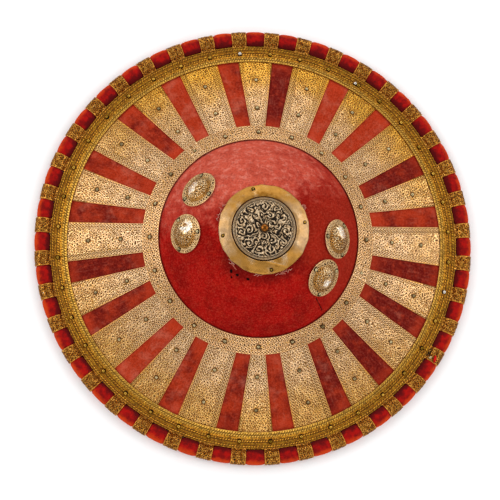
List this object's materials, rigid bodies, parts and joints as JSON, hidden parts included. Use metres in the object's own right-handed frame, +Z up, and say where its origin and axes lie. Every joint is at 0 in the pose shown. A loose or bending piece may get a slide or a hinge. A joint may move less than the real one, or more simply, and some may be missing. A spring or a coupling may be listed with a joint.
{
  "type": "parade shield",
  "caption": "Round domed parade shield: red velvet shell and rolled rim dressed with embossed brass panels, bosses and a scrolled disc.",
  "frame": {"origin": "centre of the shield on the surface that it lies on, under the rim", "axes": "+Z up out of the face through the central disc, +X to the right and +Y to the top of the face as worn"},
  "size_m": [0.5712, 0.5712, 0.1474],
  "materials": {
    "velvet": "worn red velvet",
    "rim_velvet": "red velvet, brighter",
    "embossed_brass": "embossed, pale gilt",
    "band_brass": "embossed, darker and yellower gilt",
    "boss_gilt": "embossed, rubbed gilt",
    "collar_gilt": "plain hammered gilt",
    "silvered": "dull silver grey relief, dark grooves",
    "leather": "plain brown"
  },
  "bodies": {
    "root": {"shell": "velvet", "rim_roll": "rim_velvet", "field_plate_01": "embossed_brass", "outer_band_01": "band_brass", "field_plate_02": "embossed_brass", "outer_band_02": "band_brass", "field_plate_03": "embossed_brass", "outer_band_03": "band_brass", "field_plate_04": "embossed_brass", "outer_band_04": "band_brass", "field_plate_05": "embossed_brass", "outer_band_05": "band_brass", "field_plate_06": "embossed_brass", "outer_band_06": "band_brass", "field_plate_07": "embossed_brass", "outer_band_07": "band_brass", "field_plate_08": "embossed_brass", "outer_band_08": "band_brass", "field_plate_09": "embossed_brass", "outer_band_09": "band_brass", "field_plate_10": "embossed_brass", "outer_band_10": "band_brass", "inner_ring_left": "embossed_brass", "inner_ring_right": "embossed_brass", "boss_1": "boss_gilt", "boss_2": "boss_gilt", "boss_3": "boss_gilt", "boss_4": "boss_gilt", "collar": "collar_gilt", "disc": "silvered", "pin": "collar_gilt", "forearm_strap": "leather", "hand_strap": "leather"}
  },
  "joints": []
}
